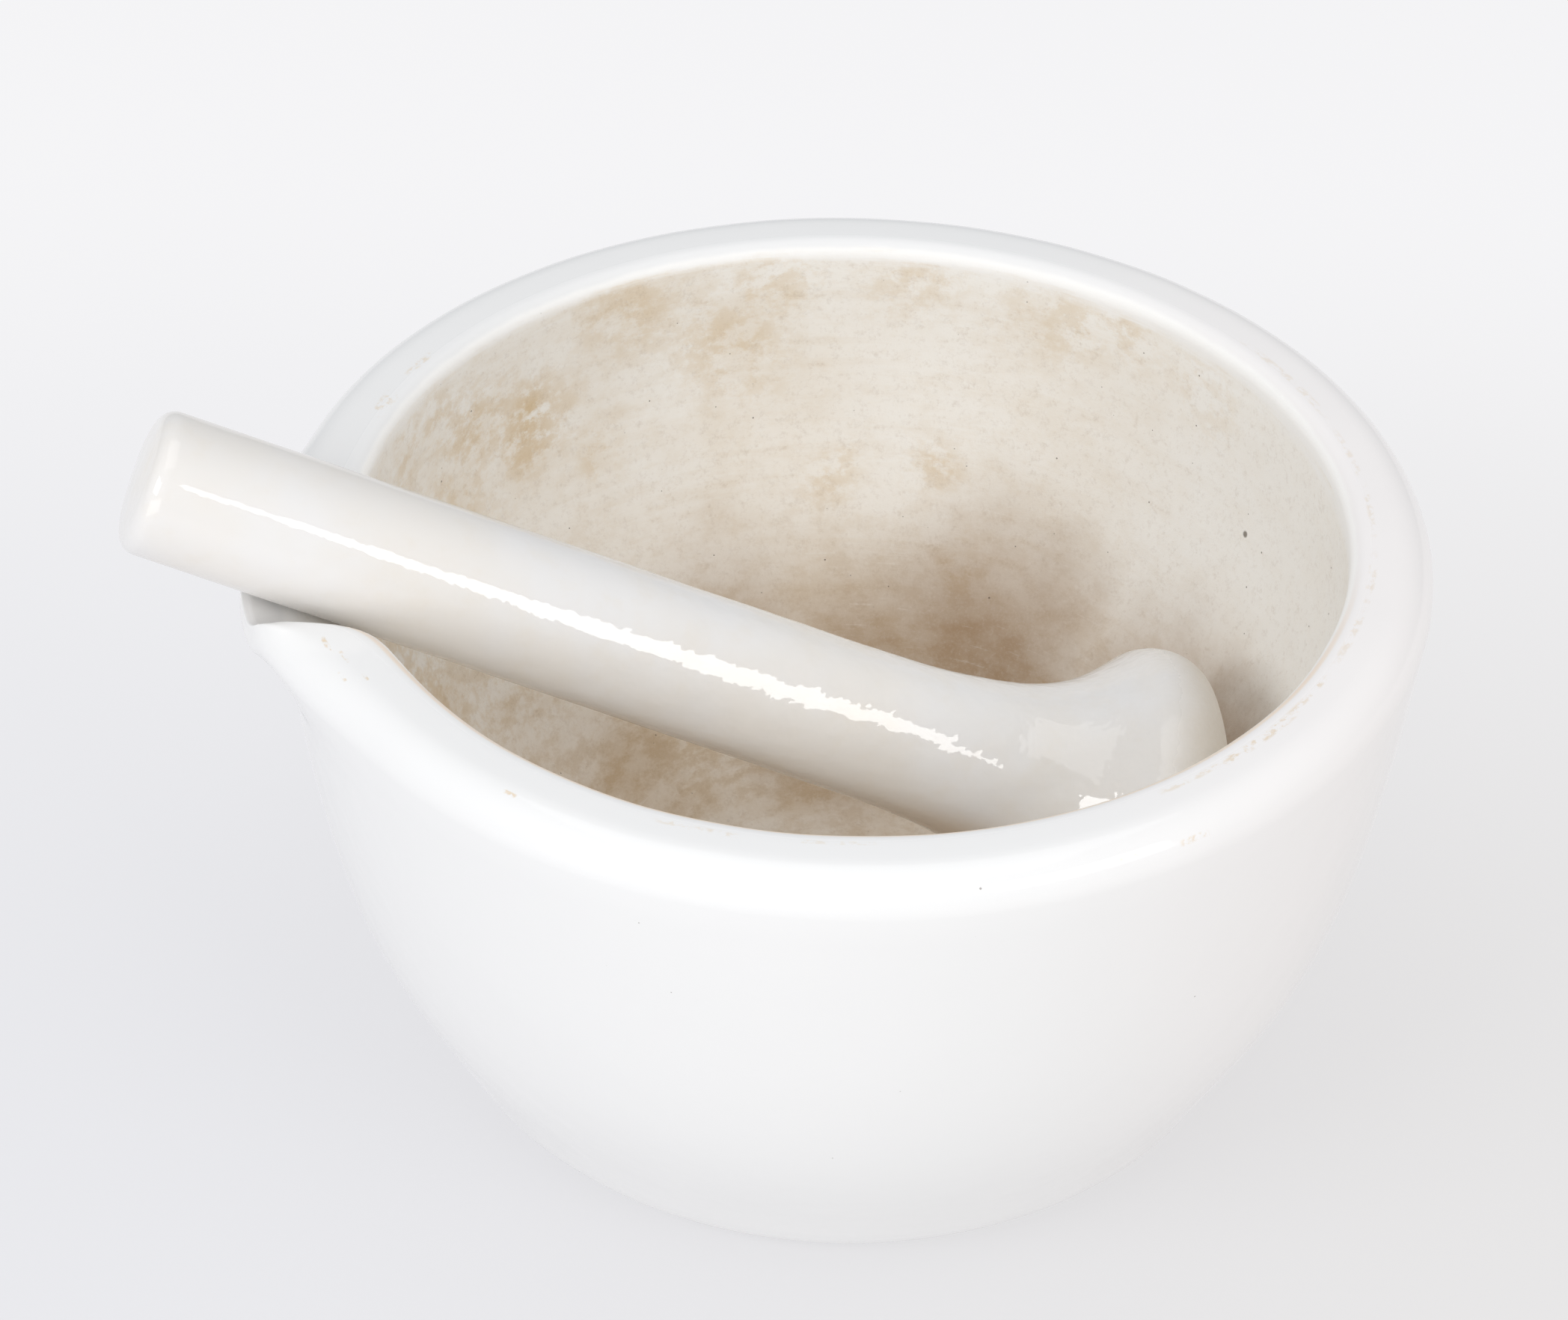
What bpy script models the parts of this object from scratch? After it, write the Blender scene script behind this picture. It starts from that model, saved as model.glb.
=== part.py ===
"""Large porcelain mortar with a pouring lip, and its one-piece porcelain pestle.

The origin is at the centre of the mortar's flat foot, +Z is up, and the lip
points to -X, turned slightly towards -Y. The pestle lies at rest with its head
on the bowl's floor and its handle in the lip.
"""

import math

import bmesh
import bpy
from mathutils import Matrix, Vector

# Mortar, outside, in metres
RIM_RADIUS = 0.125
HEIGHT = 0.135
FOOT_RADIUS = 0.080
HEEL_ROUND = 0.015
HEEL_ANGLE = math.radians(64)
BODY_PULL_LOW = 0.040
BODY_PULL_HIGH = 0.083
BODY_FLARE = math.radians(5.9)
RIM_OUTER_ROUND = 0.0088
RIM_INNER_ROUND = 0.0042

# Mortar, inside: a half ball under a short straight wall
BOWL_RADIUS = 0.10675
BOWL_CENTRE_HEIGHT = 0.1179

# Pouring lip
LIP_TURN = math.radians(193)
LIP_REACH = 0.0092
LIP_REACH_HALF_ANGLE = math.radians(27)
LIP_FADE_HEIGHT = 0.026
CHANNEL_REACH = 0.0238
CHANNEL_HALF_ANGLE = math.radians(8.6)
CHANNEL_DIP = 0.0069
CHANNEL_DIP_HALF_ANGLE = math.radians(5.6)
CHANNEL_ROOT_HEIGHT = 0.110
DIP_FADE_HEIGHT = 0.026

# Pestle, measured along its axis from the middle of the head
HANDLE_LENGTH = 0.2298
HANDLE_END_RADIUS = 0.0157
HANDLE_END_ROUND = 0.0035
NECK_START = 0.0673
NECK_RADIUS = 0.0163
NECK_PULL = 0.042
SHOULDER_ANGLE = math.radians(47)
SHOULDER_PULL = 0.0135
HEAD_RADIUS = 0.0371
HEAD_ROUND = 0.0109
HEAD_DOME = 0.0213

# Where the pestle lies: the middle of its head, and the way its handle points
HEAD_PLACE = Vector((0.0604, -0.0116, 0.0636))
HANDLE_TURN = math.radians(184.08)
HANDLE_RISE = math.radians(24.14)

ROUND_STEPS = 96
PESTLE_STEPS = 40


def clear_scene():
    for obj in list(bpy.data.objects):
        bpy.data.objects.remove(obj, do_unlink=True)


def porcelain(name, colour, roughness):
    material = bpy.data.materials.new(name)
    material.use_nodes = True
    shader = material.node_tree.nodes["Principled BSDF"]
    shader.inputs["Base Color"].default_value = (*colour, 1.0)
    shader.inputs["Roughness"].default_value = roughness
    shader.inputs["Metallic"].default_value = 0.0
    return material


def arc(centre, radius, start, end, steps):
    """Points (radius, height) on an arc, angles measured from +radius towards +height."""
    points = []
    for i in range(steps + 1):
        angle = start + (end - start) * i / steps
        points.append((centre[0] + radius * math.cos(angle), centre[1] + radius * math.sin(angle)))
    return points


def bezier(p0, p1, p2, p3, steps):
    points = []
    for i in range(steps + 1):
        t = i / steps
        weights = ((1 - t) ** 3, 3 * (1 - t) ** 2 * t, 3 * (1 - t) * t**2, t**3)
        points.append(tuple(sum(w * p[k] for w, p in zip(weights, (p0, p1, p2, p3))) for k in (0, 1)))
    return points


def mortar_outline():
    """From the middle of the foot, up the outside, over the rim and down to the bowl's floor."""
    quarter = math.pi / 2
    heel = arc((FOOT_RADIUS, HEEL_ROUND), HEEL_ROUND, -quarter, HEEL_ANGLE - quarter, 3)
    low = heel[-1]
    shoulder = (RIM_RADIUS, HEIGHT - RIM_OUTER_ROUND)
    body = bezier(
        low,
        (low[0] + BODY_PULL_LOW * math.cos(HEEL_ANGLE), low[1] + BODY_PULL_LOW * math.sin(HEEL_ANGLE)),
        (
            shoulder[0] - BODY_PULL_HIGH * math.sin(BODY_FLARE),
            shoulder[1] - BODY_PULL_HIGH * math.cos(BODY_FLARE),
        ),
        shoulder,
        9,
    )
    outer = arc((RIM_RADIUS - RIM_OUTER_ROUND, shoulder[1]), RIM_OUTER_ROUND, 0, quarter, 5)
    inner_centre = (BOWL_RADIUS + RIM_INNER_ROUND, HEIGHT - RIM_INNER_ROUND)
    inner = arc(inner_centre, RIM_INNER_ROUND, quarter, 2 * quarter, 3)
    wall_steps = 4
    wall_height = inner[-1][1] - BOWL_CENTRE_HEIGHT
    wall = [(BOWL_RADIUS, inner[-1][1] - wall_height * i / wall_steps) for i in range(1, wall_steps + 1)]
    floor = arc((0, BOWL_CENTRE_HEIGHT), BOWL_RADIUS, 0, -quarter, 14)
    return [(0, 0)] + heel + body[1:] + outer[1:] + inner + wall + floor[1:-1] + [(0, floor[-1][1])]


def pestle_outline():
    """From the middle of the handle's end to the tip of the head, as (radius, height)."""
    quarter = math.pi / 2
    end_centre = (HANDLE_END_RADIUS - HANDLE_END_ROUND, HANDLE_LENGTH - HANDLE_END_ROUND)
    end = arc(end_centre, HANDLE_END_ROUND, quarter, 0, 3)
    ball = (HEAD_RADIUS - HEAD_ROUND, 0.0)
    turn = quarter - SHOULDER_ANGLE
    top = (ball[0] + HEAD_ROUND * math.sin(turn), HEAD_ROUND * math.cos(turn))
    neck = bezier(
        (NECK_RADIUS, NECK_START),
        (NECK_RADIUS, NECK_START - NECK_PULL),
        (top[0] - SHOULDER_PULL * math.cos(turn), top[1] + SHOULDER_PULL * math.sin(turn)),
        top,
        8,
    )
    dome_radius = (HEAD_DOME**2 + ball[0] ** 2 - HEAD_ROUND**2) / (2 * (HEAD_DOME - HEAD_ROUND))
    dome_centre = (0.0, dome_radius - HEAD_DOME)
    meet = math.atan2(dome_centre[1], ball[0])
    edge = arc(ball, HEAD_ROUND, quarter - turn, -meet, 7)
    dome = arc(dome_centre, dome_radius, -meet, -quarter, 6)
    return [(0, HANDLE_LENGTH)] + end + neck + edge[1:] + dome[1:-1] + [(0, -HEAD_DOME)]


def turned(outline, steps):
    """A closed solid of revolution about Z."""
    bm = bmesh.new()
    verts = [bm.verts.new((radius, 0, height)) for radius, height in outline]
    edges = [bm.edges.new(pair) for pair in zip(verts, verts[1:])]
    bmesh.ops.spin(
        bm,
        geom=verts + edges,
        cent=(0, 0, 0),
        axis=(0, 0, 1),
        angle=math.tau,
        steps=steps,
        use_merge=True,
    )
    bmesh.ops.remove_doubles(bm, verts=bm.verts, dist=1e-6)
    bmesh.ops.recalc_face_normals(bm, faces=bm.faces)
    return bm


def smooth_step(value):
    t = min(1.0, max(0.0, value))
    return t * t * (3 - 2 * t)


def pull_lip(bm):
    """Draws the rim outwards and presses a pouring channel into it."""
    for vert in bm.verts:
        radius = math.hypot(vert.co.x, vert.co.y)
        height = vert.co.z
        angle = math.atan2(vert.co.y, vert.co.x) - LIP_TURN
        angle = abs(math.atan2(math.sin(angle), math.cos(angle)))
        spread = min(1.0, angle / LIP_REACH_HALF_ANGLE)
        outside = LIP_REACH * (0.5 + 0.5 * math.cos(math.pi * spread))
        outside *= smooth_step(1 - (HEIGHT - height) / LIP_FADE_HEIGHT)
        inside = CHANNEL_REACH / (1 + (angle / CHANNEL_HALF_ANGLE) ** 6)
        dip = CHANNEL_DIP / (1 + (angle / CHANNEL_DIP_HALF_ANGLE) ** 6)
        if radius > BOWL_RADIUS + 1e-5:
            inward = (RIM_RADIUS - radius) / (RIM_RADIUS - BOWL_RADIUS)
            on_top = height > HEIGHT - RIM_OUTER_ROUND - 1e-5
            move = outside + (inside - outside) * inward if on_top else outside
            drop = dip * smooth_step(1 - (HEIGHT - height) / DIP_FADE_HEIGHT)
        else:
            rise = max(0.0, (height - CHANNEL_ROOT_HEIGHT) / (HEIGHT - CHANNEL_ROOT_HEIGHT))
            move = inside * rise**2
            drop = dip * rise**2.5
        if move or drop:
            vert.co.x += move * vert.co.x / radius
            vert.co.y += move * vert.co.y / radius
            vert.co.z -= drop


def object_from(bm, name, material):
    mesh = bpy.data.meshes.new(name)
    bm.to_mesh(mesh)
    bm.free()
    mesh.shade_smooth()
    mesh.set_sharp_from_angle(angle=math.radians(40))
    mesh.materials.append(material)
    obj = bpy.data.objects.new(name, mesh)
    bpy.context.scene.collection.objects.link(obj)
    return obj


def make_mortar():
    bm = turned(mortar_outline(), ROUND_STEPS)
    pull_lip(bm)
    return object_from(bm, "mortar", porcelain("white_glaze", (0.86, 0.86, 0.85), 0.12))


def make_pestle():
    bm = turned(pestle_outline(), PESTLE_STEPS)
    pestle = object_from(bm, "pestle", porcelain("warm_glaze", (0.72, 0.69, 0.65), 0.15))
    axis = bpy.data.objects.new("pestle_lift", None)
    bpy.context.scene.collection.objects.link(axis)
    axis.location = HEAD_PLACE
    pestle.parent = axis
    handle = Matrix.Rotation(HANDLE_TURN, 4, "Z") @ Matrix.Rotation(math.pi / 2 - HANDLE_RISE, 4, "Y")
    pestle.rotation_euler = handle.to_euler()
    return pestle


clear_scene()
make_mortar()
make_pestle()
bpy.context.view_layer.update()
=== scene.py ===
# Large porcelain mortar with a pouring lip and its pestle, dressed for a studio shot.
# The glaze, the bare bowl and its grinding stains are procedural and follow the pieces.

import math
from types import SimpleNamespace

import bmesh
import bpy
from mathutils import Matrix, Vector, noise


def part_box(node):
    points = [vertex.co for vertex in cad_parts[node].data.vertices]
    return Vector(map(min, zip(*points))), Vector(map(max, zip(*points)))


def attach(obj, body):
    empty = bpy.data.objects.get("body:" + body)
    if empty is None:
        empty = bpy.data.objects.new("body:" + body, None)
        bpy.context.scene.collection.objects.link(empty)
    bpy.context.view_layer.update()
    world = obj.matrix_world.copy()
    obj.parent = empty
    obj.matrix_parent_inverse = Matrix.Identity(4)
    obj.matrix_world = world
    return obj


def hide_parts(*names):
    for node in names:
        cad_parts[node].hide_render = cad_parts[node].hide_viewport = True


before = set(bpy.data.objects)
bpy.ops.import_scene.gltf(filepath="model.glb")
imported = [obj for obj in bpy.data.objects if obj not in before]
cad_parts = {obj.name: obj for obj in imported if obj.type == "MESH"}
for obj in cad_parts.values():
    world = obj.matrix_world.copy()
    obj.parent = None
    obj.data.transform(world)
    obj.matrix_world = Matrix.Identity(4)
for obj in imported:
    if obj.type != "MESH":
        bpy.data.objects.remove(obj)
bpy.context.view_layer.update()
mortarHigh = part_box("mortar")[1]
rimRadius = mortarHigh.y  # the rim is a plain circle towards +Y
rimHeight = mortarHigh.z
print("frame loaded: rim radius %.4f, height %.4f" % (rimRadius, rimHeight))


class Wire:
    # one output socket; arithmetic on it adds Math nodes
    def __init__(self, tree, socket=None):
        self.tree = tree
        self.socket = socket

    def node(self, kind, settings=None, inputs=None, output=0):
        made = self.tree.nodes.new("ShaderNode" + kind)
        for name, value in (settings or {}).items():
            setattr(made, name, value)
        for name, value in (inputs or {}).items():
            if isinstance(value, Wire):
                self.tree.links.new(value.socket, made.inputs[name])
            else:
                made.inputs[name].default_value = value
        return Wire(self.tree, made.outputs[output])

    def math(self, operation, first, second=0.0, clamp=False):
        settings = {"operation": operation, "use_clamp": clamp}
        return self.node("Math", settings, {0: first, 1: second})

    def __add__(self, other):
        return self.math("ADD", self, other)

    def __sub__(self, other):
        return self.math("SUBTRACT", self, other)

    def __rsub__(self, other):
        return self.math("SUBTRACT", other, self)

    def __mul__(self, other):
        return self.math("MULTIPLY", self, other)

    def __truediv__(self, other):
        return self.math("DIVIDE", self, other)

    __radd__ = __add__
    __rmul__ = __mul__

    def capped(self):
        return self.math("ADD", self, 0.0, clamp=True)

    def size(self):
        return self.math("ABSOLUTE", self)

    def either(self, other):
        return self.math("MAXIMUM", self, other)

    def fade(self, low, high):
        # 0 at low, 1 at high, smooth between
        ends = {"Value": self, "From Min": low, "From Max": high}
        return self.node("MapRange", {"interpolation_type": "SMOOTHSTEP"}, ends)

    def noise(self, scale, detail=3.0, roughness=0.5):
        inputs = {"Vector": self, "Scale": scale, "Detail": detail, "Roughness": roughness}
        return self.node("TexNoise", {}, inputs, "Fac")

    def shifted(self, offset):
        return self.node("VectorMath", {"operation": "ADD"}, {0: self, 1: offset})

    def distanceTo(self, point):
        return self.node("VectorMath", {"operation": "DISTANCE"}, {0: self, 1: point}, "Value")

    def parts(self):
        split = self.node("SeparateXYZ", {}, {0: self})
        return [Wire(self.tree, split.socket.node.outputs[i]) for i in range(3)]

    def joined(self, x, y, z):
        return self.node("CombineXYZ", {}, {0: x, 1: y, 2: z})

    def specks(self, scale, size, share):
        # round dots in a random share of the cells of a Voronoi pattern
        cells = self.node("TexVoronoi", {"feature": "F1"}, {"Vector": self, "Scale": scale})
        near = Wire(self.tree, cells.socket.node.outputs["Distance"])
        tint = Wire(self.tree, cells.socket.node.outputs["Color"]).parts()
        chosen = tint[0].fade(1 - share, 1 - share * 0.9)
        radius = size * scale * (0.35 + tint[1] * 0.65)
        return chosen * (1 - (near / radius).fade(0.6, 1.0))

    def colour(self, value):
        made = self.node("RGB")
        made.socket.default_value = (*value, 1)
        return made

    def blended(self, other, amount):
        # this colour turning into the other one, a Wire or a plain colour, as amount goes to 1
        if not isinstance(other, Wire):
            other = (*other, 1)
        return self.node("Mix", {"data_type": "RGBA"}, {0: amount, 6: self, 7: other}, 2)

    def bumps(self, height, strength, depth, under=None):
        inputs = {"Height": height, "Strength": strength, "Distance": depth}
        if under is not None:
            inputs["Normal"] = under
        return self.node("Bump", {}, inputs)


def newMaterial(name):
    # the material with its shader, a Wire to add nodes with, and the piece's own coordinates
    material = bpy.data.materials.new(name)
    material.use_nodes = True
    tree = material.node_tree
    wire = Wire(tree)
    place = wire.node("TexCoord", {}, {}, "Object")
    return material, tree.nodes["Principled BSDF"], wire, place


def feed(shader, name, value):
    shader.id_data.links.new(value.socket, shader.inputs[name])


def arc(centre, radius, start, end, steps):
    # points (radius, height), angles in degrees from outwards towards up
    turns = [math.radians(start + (end - start) * i / steps) for i in range(steps + 1)]
    return [(centre[0] + radius * math.cos(a), centre[1] + radius * math.sin(a)) for a in turns]


def bend(start, startPull, endPull, end, steps):
    # a Bezier curve, the pulls measured from its two ends
    start, end = Vector(start), Vector(end)
    points = [start, start + Vector(startPull), end + Vector(endPull), end]
    curve = []
    for i in range(steps + 1):
        t = i / steps
        shares = ((1 - t) ** 3, 3 * (1 - t) ** 2 * t, 3 * (1 - t) * t**2, t**3)
        curve.append(tuple(sum((s * p for s, p in zip(shares, points)), Vector((0, 0)))))
    return curve


def aim(degrees, length):
    return (length * math.cos(math.radians(degrees)), length * math.sin(math.radians(degrees)))


def turned(outline, steps):
    # a closed solid of revolution about Z from an outline that starts and ends on the axis
    bm = bmesh.new()
    verts = [bm.verts.new((radius, 0, height)) for radius, height in outline]
    edges = [bm.edges.new(pair) for pair in zip(verts, verts[1:])]
    bmesh.ops.spin(
        bm,
        geom=verts + edges,
        cent=(0, 0, 0),
        axis=(0, 0, 1),
        angle=math.tau,
        steps=steps,
        use_merge=True,
    )
    bmesh.ops.remove_doubles(bm, verts=bm.verts, dist=1e-6)
    bmesh.ops.recalc_face_normals(bm, faces=bm.faces)
    return bm


def smooth(value):
    t = min(1.0, max(0.0, value))
    return t * t * (3 - 2 * t)


def unevenness(bm, amount, size):
    # the slight waviness of a thrown and fired piece
    bm.normal_update()
    moves = [(v, v.normal * amount * noise.noise(v.co / size)) for v in bm.verts]
    for vert, move in moves:
        vert.co += move


def pieceFrom(bm, name, material, body, node):
    mesh = bpy.data.meshes.new(name)
    bm.to_mesh(mesh)
    bm.free()
    mesh.shade_smooth()
    mesh.materials.append(material)
    piece = bpy.data.objects.new(name, mesh)
    bpy.context.scene.collection.objects.link(piece)
    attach(piece, body)
    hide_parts(node)
    print("%s: %d faces" % (name, len(mesh.polygons)))


mortar = {
    "footRadius": 0.64 * rimRadius,
    "heelRound": 0.015,
    "heelAngle": 64,  # how far the heel's arc turns before the body starts
    "bodyPullLow": 0.040,
    "bodyPullHigh": 0.083,
    "bodyFlare": 5.9,
    "rimOuterRound": 0.0088,
    "rimInnerRound": 0.0042,
    "bowlRadius": 0.10675,
    "bowlCentre": 0.1179,
    "lipTurn": 193,
    "lipReach": 0.0092,
    "lipHalfAngle": 27,
    "lipDepth": 0.026,
    "channelReach": 0.0225,
    "channelHalfAngle": 8.6,
    "channelDip": 0.0069,
    "channelDipHalfAngle": 5.6,
    "channelDepth": 0.025,  # how far down the wall the channel reaches
    "channelHollow": 3.0,
    "channelSquareness": 6,
    "wave": 0.00016,
    "waveSize": 0.021,
    "steps": 480,
}


def mortarOutline(m):
    # from the middle of the foot, up the outside, over the rim and down to the bowl's floor
    heel = arc((m["footRadius"], m["heelRound"]), m["heelRound"], -90, m["heelAngle"] - 90, 8)
    shoulder = (rimRadius, rimHeight - m["rimOuterRound"])
    body = bend(
        heel[-1],
        aim(m["heelAngle"], m["bodyPullLow"]),
        aim(-90 - m["bodyFlare"], m["bodyPullHigh"]),
        shoulder,
        34,
    )
    outer = arc((rimRadius - m["rimOuterRound"], shoulder[1]), m["rimOuterRound"], 0, 90, 12)
    innerCentre = (m["bowlRadius"] + m["rimInnerRound"], rimHeight - m["rimInnerRound"])
    inner = arc(innerCentre, m["rimInnerRound"], 90, 180, 9)
    top = [((outer[-1][0] * (3 - i) + inner[0][0] * i) / 3, rimHeight) for i in (1, 2)]
    drop = inner[-1][1] - m["bowlCentre"]
    wall = [(m["bowlRadius"], inner[-1][1] - drop * i / 9) for i in range(1, 10)]
    floor = arc((0, m["bowlCentre"]), m["bowlRadius"], 0, -90, 44)
    flat = [(m["footRadius"] * i / 6, 0) for i in range(6)]
    outside = flat + heel + body[1:] + outer[1:]
    return outside + top + inner + wall + floor[1:-1] + [(0, floor[-1][1])]


def pullLip(bm, m, depth):
    # draws the rim outwards into a lip, presses the channel in and notes how deep each point lies
    width = rimRadius - m["bowlRadius"]
    innerEdge = m["bowlRadius"] + m["rimInnerRound"]
    squareness = m["channelSquareness"]
    for vert in bm.verts:
        radius = math.hypot(vert.co.x, vert.co.y)
        height = vert.co.z
        fromCentre = math.hypot(radius, min(0, height - m["bowlCentre"]))
        inside = fromCentre < innerEdge + 1e-6
        onTop = height > rimHeight - m["rimOuterRound"] - 1e-6
        vert[depth] = rimHeight - height if inside else innerEdge - fromCentre
        angle = math.atan2(vert.co.y, vert.co.x) - math.radians(m["lipTurn"])
        angle = abs(math.degrees(math.atan2(math.sin(angle), math.cos(angle))))
        fade = smooth(1 - (rimHeight - height) / m["lipDepth"])
        if not fade or angle > 2 * m["lipHalfAngle"]:
            continue
        spread = min(1, angle / m["lipHalfAngle"])
        outward = m["lipReach"] * (0.5 + 0.5 * math.cos(math.pi * spread)) * fade
        channel = m["channelReach"] / (1 + (angle / m["channelHalfAngle"]) ** squareness)
        channel *= max(0, 1 - (rimHeight - height) / m["channelDepth"]) ** m["channelHollow"]
        across = min(1, (rimRadius - radius) / width) if onTop or inside else 0
        move = outward + (channel - outward) * across
        vert.co.x += move * vert.co.x / radius
        vert.co.y += move * vert.co.y / radius
        dip = m["channelDip"] / (1 + (angle / m["channelDipHalfAngle"]) ** squareness)
        vert.co.z -= dip * fade


mortarFinish = {
    "glaze": (0.845, 0.841, 0.834),
    "glazeBlush": (0.93, 0.88, 0.86),
    "glazeRoughness": 0.06,
    "clean": (0.94, 0.93, 0.91),  # bare porcelain above the stains
    "bare": (0.93, 0.91, 0.865),
    "bareRoughness": 0.82,
    "ior": 1.5,
    "tan": (0.73, 0.61, 0.45),
    "ochre": (0.68, 0.50, 0.27),
    "brown": (0.55, 0.42, 0.28),
    "dark": (0.33, 0.205, 0.105),
    "scuff": (0.91, 0.90, 0.88),
    "speck": (0.12, 0.09, 0.06),
    "flash": (0.88, 0.73, 0.58),  # the peach line on the near edge, where the glaze runs thin
    # patterns as how many waves to the metre: round the bowl, and up its wall
    "cloudScale": 15,
    "mottleScale": (42, 60),
    "crumbScale": (150, 210),
    "rubbedScale": (16, 260),  # the circles that grinding leaves
    "scratchScale": (60, 900),
    "poreScale": 420,
    "grainScale": 1300,
    "gritScale": 2600,
    "glossScale": 240,
    "blotchScale": (330, 420),  # along the rim and across it
    "wanderScale": 70,  # how the edges of glaze and stain wander
    "wander": 0.0012,
    "warpScale": 38,
    "warp": 0.022,  # how far the outlines of the stains are pulled about
    "warpShift": (0.3, 0.1, 0.2),
    # dots as cells to the metre, radius in metres and the share of cells that have one
    "fineSpecks": (330, 0.0003, 0.22),
    "coarseSpecks": (110, 0.0007, 0.05),
    "pinSpecks": (150, 0.00035, 0.16),
    # how strongly each layer shows
    "washes": (0.24, 0.24, 0.14, 0.16),  # in clouds, mottles, circles and crumbs
    "scratches": 0.18,
    "grain": 0.4,
    "pores": 0.7,
    "specks": 0.8,
    "pins": 0.6,
    "rubbing": 0.8,
    "flashed": 0.75,
    "darkDot": (30, 0.094, 0.0010),  # one dark dot: angle, height and radius
    "ripple": (95, 0.00022),  # waves to the metre in the glaze, and their depth
    "grit": 0.00014,
    "glazeLine": (0.0008, 0.0018),  # the glaze ends between these depths below the rim
    "lipGlaze": 0.0010,  # and this much further down at the lip
    "stainLine": (0.0022, 0.0064),  # the stains start between these depths
    "rightStainDrop": 0.0036,  # and this much lower towards +X
    # where the masks of the sides fade, in metres
    "lipSide": (0.018, 0.028),
    "rightSide": (0.03, 0.10),
    "nearSide": (-0.06, -0.01),
    "blushSide": (0.02, 0.13),
    "floorSide": (0.05, 0.140),
    "middle": (0.02, 0.08),
    "flashBand": (0.0002, 0.0006),
    "flashEnd": (0.0009, 0.0017),
    # stains as (angle round the bowl, height, radius, strength), metres and degrees
    "ochreStains": (
        (137, 0.103, 0.013, 0.85),
        (146, 0.112, 0.016, 0.55),
        (151, 0.120, 0.012, 0.5),
        (107, 0.110, 0.018, 0.45),
        (120, 0.124, 0.016, 0.4),
        (100, 0.127, 0.012, 0.45),
        (83, 0.127, 0.012, 0.35),
        (70, 0.122, 0.009, 0.2),
        (54, 0.127, 0.012, 0.4),
        (62, 0.124, 0.012, 0.4),
        (42, 0.119, 0.012, 0.25),
        (80, 0.077, 0.007, 0.5),
        (94, 0.074, 0.007, 0.4),
        (126, 0.091, 0.008, 0.4),
        (72, 0.057, 0.009, 0.4),
        (160, 0.121, 0.011, 0.4),
        (152, 0.094, 0.017, 0.4),
        (128, 0.030, 0.015, 0.4),
        (176, 0.070, 0.034, 0.55),
        (156, 0.062, 0.026, 0.4),
        (97, 0.022, 0.009, 0.5),
    ),
    # dark patches: partly real brown stain, partly the shadow of the pestle and its head painted
    # onto the wall behind them
    "darkStainsAndShadows": (
        (66, 0.044, 0.034, 0.85),
        (86, 0.034, 0.032, 0.65),
        (30, 0.052, 0.024, 0.6),
        (17, 0.052, 0.022, 0.85),
        (8, 0.060, 0.020, 0.7),
        (110, 0.046, 0.026, 0.4),
    ),
    # brown rubbing on the rim as (angle, half length in degrees, radius, half width, strength)
    "rimScuffs": (
        (255, 5, 0.1122, 0.0010, 0.4),
        (268, 6, 0.1116, 0.0008, 0.3),
        (318, 7, 0.1124, 0.0014, 0.75),
        (308, 5, 0.1122, 0.0010, 0.4),
        (327, 5, 0.1118, 0.0010, 0.5),
        (344, 12, 0.1116, 0.0012, 0.35),
        (8, 12, 0.1116, 0.0010, 0.3),
        (30, 10, 0.1118, 0.0012, 0.3),
        (206, 1.8, 0.1200, 0.0007, 0.9),
        (208.5, 1.2, 0.1182, 0.0006, 0.7),
        (211, 0.9, 0.1210, 0.0005, 0.9),
        (212.5, 0.7, 0.1172, 0.0005, 0.8),
        (161, 3, 0.1110, 0.0022, 0.5),
        (152, 3, 0.1116, 0.0012, 0.5),
        (304, 1.8, 0.1235, 0.0005, 0.7),
        (297, 1.2, 0.1230, 0.0004, 0.5),
        (46, 0.7, 0.1190, 0.0007, 1.0),
        (236, 0.9, 0.1190, 0.0006, 0.8),
    ),
}


def onBowl(m, turn, height):
    # the point of the bare bowl at this angle and height
    down = min(0, height - m["bowlCentre"])
    radius = math.sqrt(m["bowlRadius"] ** 2 - down**2)
    return (*aim(turn, radius), height)


def stained(m, place, stains):
    # soft round patches, the strongest showing where they overlap
    patches = None
    for turn, height, size, strength in stains:
        near = place.distanceTo(onBowl(m, turn, height))
        patch = (1 - near.fade(size * 0.1, size * 1.4)) * strength
        patches = patch if patches is None else patches.either(patch)
    return patches


def rimRubbing(x, y, radius, scuffs):
    # short arcs of brown rubbing along the top of the rim
    rubbing = None
    for turn, half, across, width, strength in scuffs:
        ahead = aim(turn, 1.0)
        facing = (x * ahead[0] + y * ahead[1]) / radius
        along = facing.fade(math.cos(math.radians(half)), math.cos(math.radians(half * 0.5)))
        spot = along * (1 - (radius - across).size().fade(width * 0.3, width)) * strength
        rubbing = spot if rubbing is None else rubbing.either(spot)
    return rubbing


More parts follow.
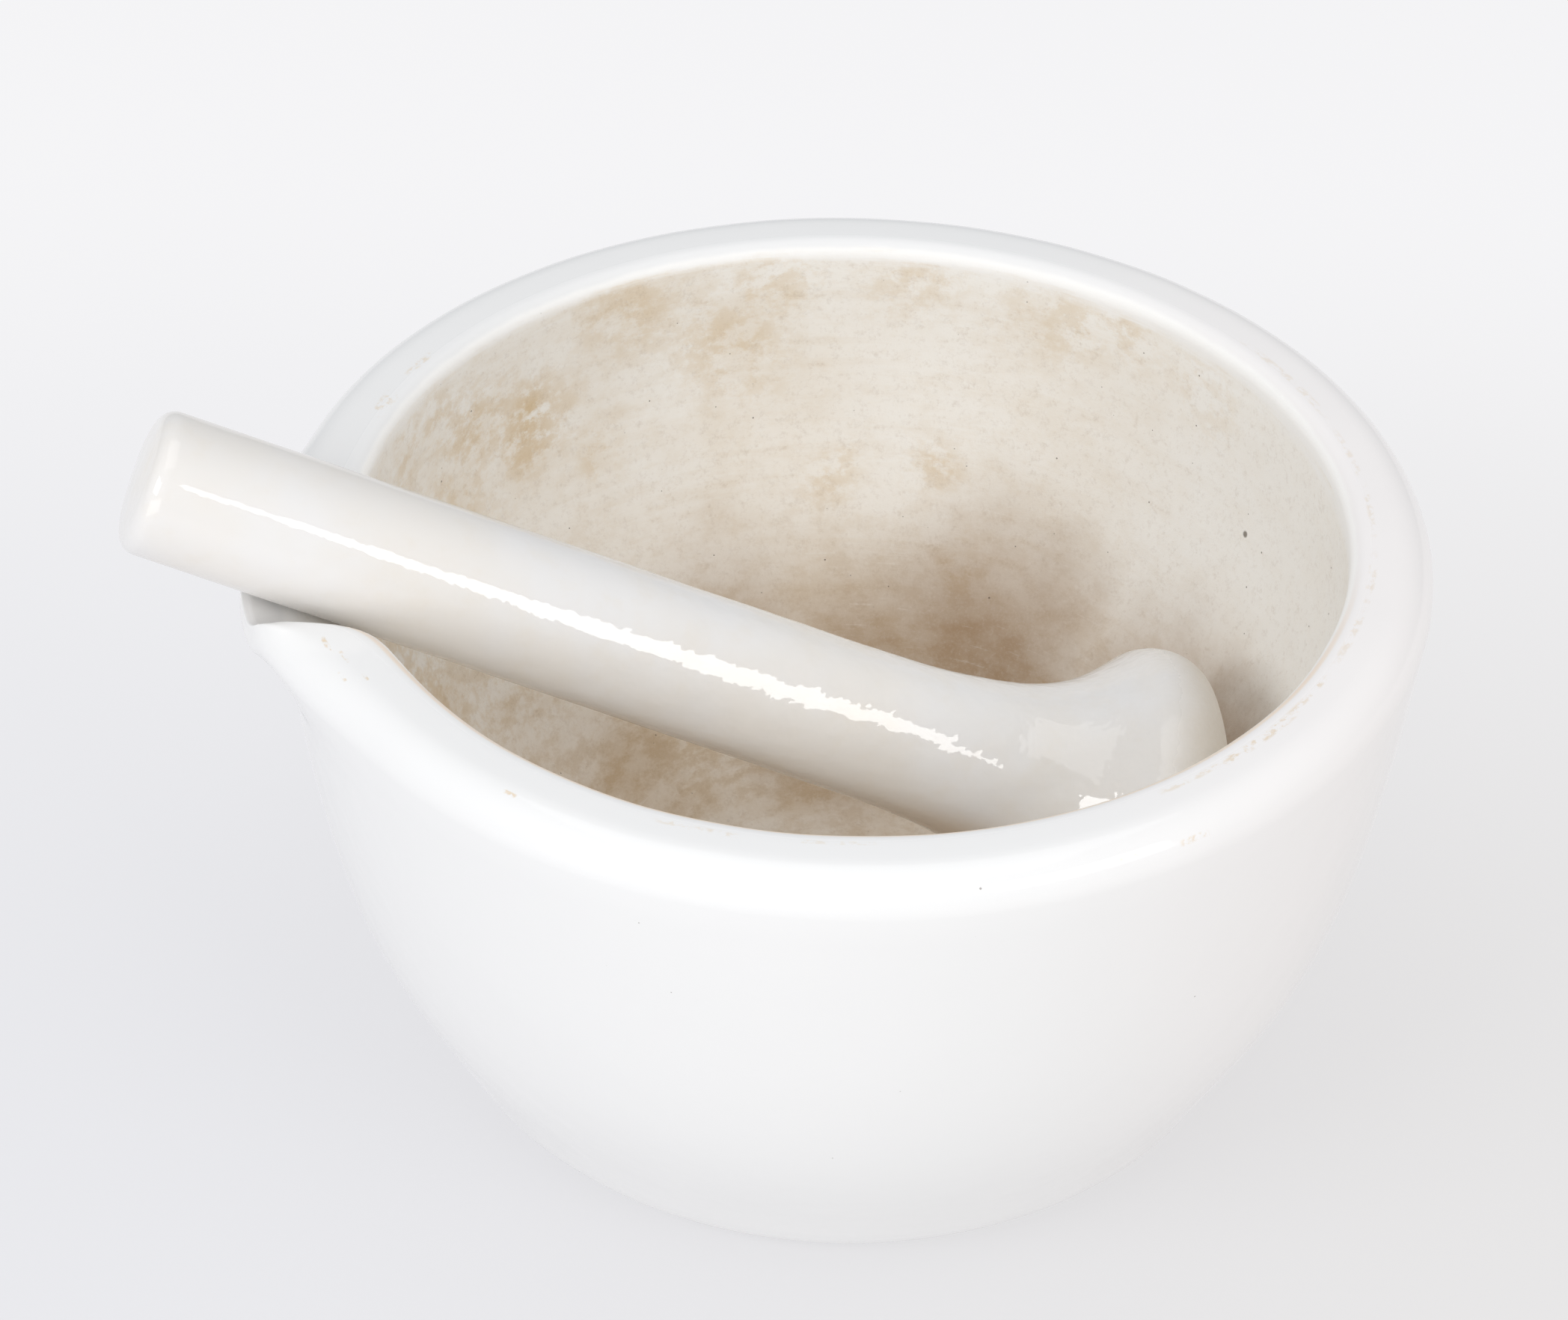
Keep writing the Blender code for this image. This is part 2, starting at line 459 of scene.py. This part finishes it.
def mortarPatterns(m, f, wire, place):
    # places, noises and masks that both the bare bowl and the glaze use
    here = SimpleNamespace()
    here.depth = wire.node("Attribute", {"attribute_name": "depth"}, {}, "Fac")
    here.x, here.y, here.z = place.parts()
    here.radius = wire.math("SQRT", here.x * here.x + here.y * here.y)
    # climb is how far along the wall from the middle of the floor
    here.climb = wire.math("ARCTAN2", here.radius, m["bowlCentre"] - here.z) * m["bowlRadius"]

    def wallNoise(scales, detail, roughness):
        # noise stretched round the bowl or up its wall
        around, upward = scales
        stretched = wire.joined(here.x * around, here.y * around, here.climb * upward)
        return stretched.noise(1.0, detail, roughness)

    here.cloud = place.noise(f["cloudScale"], 2, 0.5)
    here.mottle = wallNoise(f["mottleScale"], 5, 0.62)
    here.crumb = wallNoise(f["crumbScale"], 5, 0.7)
    here.rubbed = wallNoise(f["rubbedScale"], 5, 0.66)
    here.fine = wallNoise(f["scratchScale"], 3, 0.62)
    here.grain = place.noise(f["grainScale"], 2, 0.7)
    here.wander = place.noise(f["wanderScale"], 3) * f["wander"] - f["wander"] / 2
    lipTip = (*aim(m["lipTurn"], rimRadius), rimHeight)
    here.lipward = 1 - place.distanceTo(lipTip).fade(*f["lipSide"])
    here.rightward = here.x.fade(*f["rightSide"])
    edge = here.depth + here.wander - here.lipward * f["lipGlaze"]
    here.bare = edge.fade(*f["glazeLine"])
    return here


def bowlColour(m, f, wire, place, here):
    # bare porcelain with a tan wash, ochre patches, a brown floor, dark patches of stain and
    # painted pestle shadow, dirt, pale scuffs and specks
    feather = here.wander * 2.2 + (here.rubbed - 0.5) * 0.012
    feather -= here.rightward * f["rightStainDrop"]
    soiled = (here.depth + feather).fade(*f["stainLine"])
    soiled *= 1 - here.lipward * 0.3

    inClouds, inMottles, inCircles, inCrumbs = f["washes"]
    wash = here.cloud.fade(0.40, 0.72) * inClouds + here.mottle.fade(0.44, 0.72) * inMottles
    wash += here.rubbed.fade(0.48, 0.7) * inCircles
    wash += here.crumb.fade(0.44, 0.68) * inCrumbs
    wash *= 0.85 - here.rightward * 0.55

    warpX = place.noise(f["warpScale"], 3) * f["warp"] - f["warp"] / 2
    elsewhere = place.shifted(f["warpShift"])
    warpY = elsewhere.noise(f["warpScale"], 3) * f["warp"] - f["warp"] / 2
    warped = place.shifted(wire.joined(warpX, warpY, warpX))
    patches = stained(m, warped, f["ochreStains"])
    patches *= here.crumb.fade(0.40, 0.58) * 0.75 + here.mottle.fade(0.35, 0.6) * 0.3
    # dark patches that are partly stain and partly painted shadow of the pestle and its head
    stainsAndShadows = stained(m, warped, f["darkStainsAndShadows"]) * (0.5 + here.mottle * 0.4 + here.crumb * 0.3)

    floorward = 1 - here.climb.fade(*f["floorSide"])
    soil = 0.54 + here.mottle.fade(0.35, 0.7) * 0.30 + here.crumb.fade(0.42, 0.64) * 0.25
    soil = floorward * soil * (0.60 + here.climb.fade(*f["middle"]) * 0.5)
    marks = here.rubbed.fade(0.60, 0.72) * here.crumb.fade(0.48, 0.66) * (0.25 + floorward * 0.5)
    pores = place.noise(f["poreScale"], 4, 0.75)
    dirt = marks * 0.5 + ((here.grain - 0.5) * f["grain"] + (pores - 0.53) * f["pores"]) * soiled
    scuffs = here.fine.fade(0.60, 0.76) * here.cloud.fade(0.30, 0.50) * f["scratches"]
    specks = place.specks(*f["fineSpecks"]).either(place.specks(*f["coarseSpecks"]))
    turn, height, size = f["darkDot"]
    darkDot = 1 - place.distanceTo(onBowl(m, turn, height)).fade(size / 2, size)

    tint = wire.colour(f["clean"]).blended(f["bare"], soiled)
    tint = tint.blended(f["tan"], (wash * soiled).capped())
    tint = tint.blended(f["ochre"], (patches * soiled).capped())
    tint = tint.blended(f["brown"], (soil * soiled).capped())
    tint = tint.blended(f["dark"], (stainsAndShadows * soiled).capped())
    tint = tint.blended(f["dark"], dirt.capped())
    tint = tint.blended(f["scuff"], (scuffs + (0.47 - here.grain) * f["grain"]).capped())
    return tint.blended(f["speck"], (specks.either(darkDot) * soiled * f["specks"]).capped())


def rimColour(f, wire, place, here, bowl, rubbing):
    # white glaze over the bare bowl's colour: a faint blush towards +X, a peach near edge,
    # brown rubbing on the rim and pin specks
    near = (1 - here.y.fade(*f["nearSide"])) * (1 - here.lipward)
    flashed = here.depth.fade(*f["flashBand"]) * (1 - here.depth.fade(*f["flashEnd"])) * near
    pins = place.specks(*f["pinSpecks"])
    white = wire.colour(f["glaze"]).blended(f["glazeBlush"], here.x.fade(*f["blushSide"]) * 0.6)
    skin = white.blended(bowl, here.bare)
    skin = skin.blended(f["flash"], (flashed * f["flashed"]).capped())
    skin = skin.blended(f["ochre"], (rubbing * f["rubbing"]).capped())
    return skin.blended(f["speck"], (pins * (1 - here.bare) * f["pins"]).capped())


def mortarPorcelain(m, f):
    material, shader, wire, place = newMaterial("mortarPorcelain")
    here = mortarPatterns(m, f, wire, place)
    along, across = f["blotchScale"]
    blotches = wire.joined(here.x * along, here.y * along, here.radius * across).noise(1.0, 4, 0.7)
    onRim = here.z.fade(rimHeight - 0.009, rimHeight - 0.006)
    rubbing = rimRubbing(here.x, here.y, here.radius, f["rimScuffs"])
    rubbing *= blotches.fade(0.46, 0.62) * onRim
    bowl = bowlColour(m, f, wire, place, here)
    feed(shader, "Base Color", rimColour(f, wire, place, here, bowl, rubbing))

    worn = here.depth.fade(-0.0008, 0.0006) * 0.4  # the round into the bowl has lost its shine
    glossy = f["glazeRoughness"] + place.noise(f["glossScale"], 2) * 0.03 + rubbing * 0.3 + worn
    matte = f["bareRoughness"] + here.mottle * 0.1 - here.rubbed * 0.12
    feed(shader, "Roughness", (glossy * (1 - here.bare) + matte * here.bare).capped())
    rippleScale, rippleDepth = f["ripple"]
    ripple = place.noise(rippleScale, 2) * (1 - here.bare)
    grit = (here.grain * 0.5 + place.noise(f["gritScale"], 3) * 0.4 + here.fine * 0.3) * here.bare
    uneven = wire.bumps(ripple, 0.3, rippleDepth)
    feed(shader, "Normal", wire.bumps(grit, 0.4, f["grit"], uneven))
    shader.inputs["IOR"].default_value = f["ior"]
    return material


print("shaping the mortar")
mortarMesh = turned(mortarOutline(mortar), mortar["steps"])
depthLayer = mortarMesh.verts.layers.float.new("depth")
pullLip(mortarMesh, mortar, depthLayer)
unevenness(mortarMesh, mortar["wave"], mortar["waveSize"])
pieceFrom(
    mortarMesh,
    "mortar_body",
    mortarPorcelain(mortar, mortarFinish),
    "mortar",
    "mortar",
)

pestle = {
    "length": 0.2298,  # from the middle of the head to the handle's end
    "endRadius": 0.0157,
    "endRound": 0.0040,
    "endDome": 0.0007,
    "neckStart": 0.0673,
    "neckRadius": 0.0163,
    "neckPull": 0.042,
    "shoulderAngle": 47,
    "shoulderPull": 0.0135,
    "headRadius": 0.0371,
    "headRound": 0.0109,
    "headDome": 0.0213,
    "headPlace": (0.0604, -0.0116, 0.0636),
    "handleTurn": 184.08,
    "handleRise": 24.14,
    "wave": 0.00016,
    "waveSize": 0.016,
    "steps": 200,
}


def pestleOutline(p):
    # from the middle of the handle's end to the tip of the head
    inner = p["endRadius"] - p["endRound"]
    crown = [(inner * i / 5, p["length"] + p["endDome"] * (1 - (i / 5) ** 2)) for i in range(5)]
    end = arc((inner, p["length"] - p["endRound"]), p["endRound"], 90, 0, 10)
    top = aim(p["shoulderAngle"], p["headRound"])
    top = (p["headRadius"] - p["headRound"] + top[0], top[1])
    handleSteps = 40
    drop = p["neckStart"] - end[-1][1]
    flare = p["neckRadius"] - p["endRadius"]
    handle = []
    for i in range(1, handleSteps):
        t = i / handleSteps
        handle.append((p["endRadius"] + flare * t, end[-1][1] + drop * t))
    neck = bend(
        (p["neckRadius"], p["neckStart"]),
        (0, -p["neckPull"]),
        aim(p["shoulderAngle"] + 90, p["shoulderPull"]),
        top,
        36,
    )
    flat = p["headRadius"] - p["headRound"]
    domeSquare = p["headDome"] ** 2 + flat**2 - p["headRound"] ** 2
    domeRadius = domeSquare / (2 * (p["headDome"] - p["headRound"]))
    meet = math.degrees(math.atan2(domeRadius - p["headDome"], flat))
    edge = arc((flat, 0), p["headRound"], p["shoulderAngle"], -meet, 22)
    dome = arc((0, domeRadius - p["headDome"]), domeRadius, -meet, -90, 18)
    return crown + end + handle + neck + edge[1:] + dome[1:-1] + [(0, -p["headDome"])]


pestleFinish = {
    "glaze": (0.80, 0.775, 0.745),
    "cool": (0.80, 0.79, 0.785),
    "warm": (0.78, 0.73, 0.66),
    "glazeRoughness": 0.035,
    "worn": (0.70, 0.63, 0.54),
    "undersideStainAndShade": (0.52, 0.40, 0.28),  # stained where it lies in the bowl, and darkened as painted shade on the side facing down and on the head
    "wornRoughness": 0.7,
    "ior": 1.65,
    "speck": (0.30, 0.17, 0.08),
    # heights on the pestle's own axis, which starts in the middle of the head
    "wornTo": (-0.002, 0.012),  # the bare grinding face ends between these
    "headTo": 0.07,
    "stainAndShadeTo": (0.07, 0.17),
    "wavyTo": (0.03, 0.19),
    # patterns as how many waves or cells to the metre
    "cloudScale": 28,
    "bloomScale": 120,
    "grainScale": 900,
    "pinSpecks": (130, 0.0004, 0.10),  # as on the mortar
    "pins": 0.65,
    "ripple": (85, 0.0009),  # waves to the metre in the glaze, and their depth
}


def pestlePlace(p):
    turn = Matrix.Rotation(math.radians(p["handleTurn"]), 4, "Z")
    lean = Matrix.Rotation(math.radians(90 - p["handleRise"]), 4, "Y")
    return Matrix.Translation(p["headPlace"]) @ turn @ lean


def pestlePorcelain(p, f):
    material, shader, wire, place = newMaterial("pestlePorcelain")
    along = wire.node("Attribute", {"attribute_name": "along"}, {}, "Fac")
    cloud = place.noise(f["cloudScale"], 3, 0.5)
    bloom = place.noise(f["bloomScale"], 4, 0.6)
    grain = place.noise(f["grainScale"], 2, 0.6)
    worn = 1 - (along + bloom * 0.006).fade(*f["wornTo"])
    tint = wire.colour(f["glaze"]).blended(f["cool"], cloud.fade(0.4, 0.65) * 0.7)
    warmth = bloom.fade(0.48, 0.75) * 0.35 + cloud.fade(0.6, 0.4) * 0.25
    tint = tint.blended(f["warm"], warmth.capped())
    tint = tint.blended(f["worn"], worn * (0.6 + grain * 0.4))
    # the underside and the head turn brown: partly stain from lying in the bowl, partly painted
    # shade where the pestle faces down and where the rim shades the head
    below = wire.node("Attribute", {"attribute_name": "below"}, {}, "Fac")
    headward = 1 - along.fade(0.0, f["headTo"])
    lyingStainAndShade = (below + headward * 0.7).fade(0.2, 1.0) * (1 - along.fade(*f["stainAndShadeTo"]))
    lyingStainAndShade *= 0.6 + cloud * 0.3
    tint = tint.blended(f["undersideStainAndShade"], lyingStainAndShade.capped())
    pins = place.specks(*f["pinSpecks"])
    tint = tint.blended(f["speck"], (pins * f["pins"]).capped())
    feed(shader, "Base Color", tint)
    dull = f["glazeRoughness"] + grain * 0.02 + worn * f["wornRoughness"]
    feed(shader, "Roughness", dull.capped())
    waviness = 1.35 - along.fade(*f["wavyTo"])  # the glaze is more wavy towards the head
    rippleScale, rippleDepth = f["ripple"]
    ripple = place.noise(rippleScale, 3, 0.55) * waviness * (1 - worn) + grain * worn * 0.2
    feed(shader, "Normal", wire.bumps(ripple, 0.6, rippleDepth))
    shader.inputs["IOR"].default_value = f["ior"]
    return material


print("shaping the pestle")
pestleMesh = turned(pestleOutline(pestle), pestle["steps"])
alongLayer = pestleMesh.verts.layers.float.new("along")
belowLayer = pestleMesh.verts.layers.float.new("below")
down = pestlePlace(pestle).to_3x3().inverted() @ Vector((0, 0, -1))
for vert in pestleMesh.verts:
    vert[alongLayer] = vert.co.z
    vert[belowLayer] = vert.co.xy.dot(down.xy) / max(vert.co.xy.length * down.xy.length, 1e-6)
unevenness(pestleMesh, pestle["wave"], pestle["waveSize"])
bmesh.ops.transform(pestleMesh, matrix=pestlePlace(pestle), verts=pestleMesh.verts)
pieceFrom(
    pestleMesh,
    "pestle_body",
    pestlePorcelain(pestle, pestleFinish),
    "pestle",
    "pestle",
)

studio = {
    "floorSize": 6.0,
    "floorGap": 0.0002,
    "floorColour": (0.22, 0.22, 0.22),
    # the paper is lit from below, like a light table: near left, near right, and far away
    "floorGlowLeft": (0.585, 0.585, 0.61),
    "floorGlowRight": (0.575, 0.565, 0.565),
    "floorGlowFar": (0.72, 0.715, 0.725),
    "glowAcross": (-0.2, 0.2),
    "glowAway": (-0.08, 0.38),
    "floorRoughness": 0.95,
    "floorShine": 0.1,
    "skyColour": (0.95, 0.97, 1.0),
    "skyStrength": 0.60,
    "lookAt": (0.0, 0.0, 0.07),
    # name, angle round from the front, height angle, distance, width, height, power, colour
    "lamps": (
        ("softboxLeft", -45, 37, 1.35, 0.62, 0.40, 4.4, (0.985, 0.99, 1.0)),
        ("softboxRight", 43, 31, 1.35, 0.70, 0.44, 4.2, (1.0, 0.985, 0.965)),
        ("overhead", 0, 88, 1.50, 1.30, 1.30, 4.0, (1.0, 1.0, 1.0)),
        ("lowFront", -25, 6, 1.60, 1.60, 0.90, 5.4, (1.0, 1.0, 1.0)),
    ),
}


def studioFloor(s):
    material, shader, wire, place = newMaterial("paper")
    x, y, z = place.parts()
    glow = wire.colour(s["floorGlowLeft"]).blended(s["floorGlowRight"], x.fade(*s["glowAcross"]))
    glow = glow.blended(s["floorGlowFar"], y.fade(*s["glowAway"]))
    shader.inputs["Base Color"].default_value = (*s["floorColour"], 1)
    feed(shader, "Emission Color", glow)
    shader.inputs["Emission Strength"].default_value = 1.0
    shader.inputs["Roughness"].default_value = s["floorRoughness"]
    shader.inputs["Specular IOR Level"].default_value = s["floorShine"]
    bm = bmesh.new()
    bmesh.ops.create_grid(bm, x_segments=8, y_segments=8, size=s["floorSize"] / 2)
    mesh = bpy.data.meshes.new("floor")
    bm.to_mesh(mesh)
    bm.free()
    mesh.materials.append(material)
    floor = bpy.data.objects.new("floor", mesh)
    floor.location.z = -s["floorGap"]
    bpy.context.scene.collection.objects.link(floor)


def studioLamps(s):
    target = Vector(s["lookAt"])
    for name, turn, rise, distance, width, height, power, colour in s["lamps"]:
        lamp = bpy.data.lights.new(name, "AREA")
        lamp.shape = "RECTANGLE"
        lamp.size = width
        lamp.size_y = height
        lamp.energy = power
        lamp.color = colour
        stand = bpy.data.objects.new(name, lamp)
        flat, high = aim(rise, distance)
        stand.location = target + Vector((*aim(turn - 90, flat), high))
        stand.rotation_euler = (target - stand.location).to_track_quat("-Z", "Y").to_euler()
        bpy.context.scene.collection.objects.link(stand)
    world = bpy.data.worlds.new("studio")
    world.use_nodes = True
    sky = world.node_tree.nodes["Background"]
    sky.inputs["Color"].default_value = (*s["skyColour"], 1)
    sky.inputs["Strength"].default_value = s["skyStrength"]
    bpy.context.scene.world = world


camera = {
    "distance": 8.0,  # in rim radii, as is the height of the point it circles
    "targetHeight": 0.5,
    # angles in radians
    "rise": 0.6806,
    "pan": -0.0148,
    "tilt": 0.0249,
    "roll": 0.0276,
    "lens": 101.87,
    "sensor": 36.0,
}


def swing(a, b, angle):
    return a * math.cos(angle) + b * math.sin(angle), b * math.cos(angle) - a * math.sin(angle)


def studioCamera(c):
    away, rise = c["distance"], c["rise"]
    high = c["targetHeight"] + away * math.sin(rise)
    spot = Vector((0, -away * math.cos(rise), high)) * rimRadius
    ahead = Vector((0, math.cos(rise), -math.sin(rise)))
    right = Vector((1, 0, 0))
    up = right.cross(ahead)
    ahead, right = swing(ahead, right, c["pan"])
    ahead, up = swing(ahead, up, c["tilt"])
    right, up = swing(right, up, c["roll"])
    lens = bpy.data.cameras.new("camera")
    lens.lens = c["lens"]
    lens.sensor_width = c["sensor"]
    lens.clip_start = 0.01
    stand = bpy.data.objects.new("camera", lens)
    axes = Matrix((right, up, -ahead)).transposed().to_4x4()
    stand.matrix_world = Matrix.Translation(spot) @ axes
    bpy.context.scene.collection.objects.link(stand)
    bpy.context.scene.camera = stand


print("lighting the studio")
studioFloor(studio)
studioLamps(studio)
studioCamera(camera)
bpy.context.scene.view_settings.view_transform = "Standard"
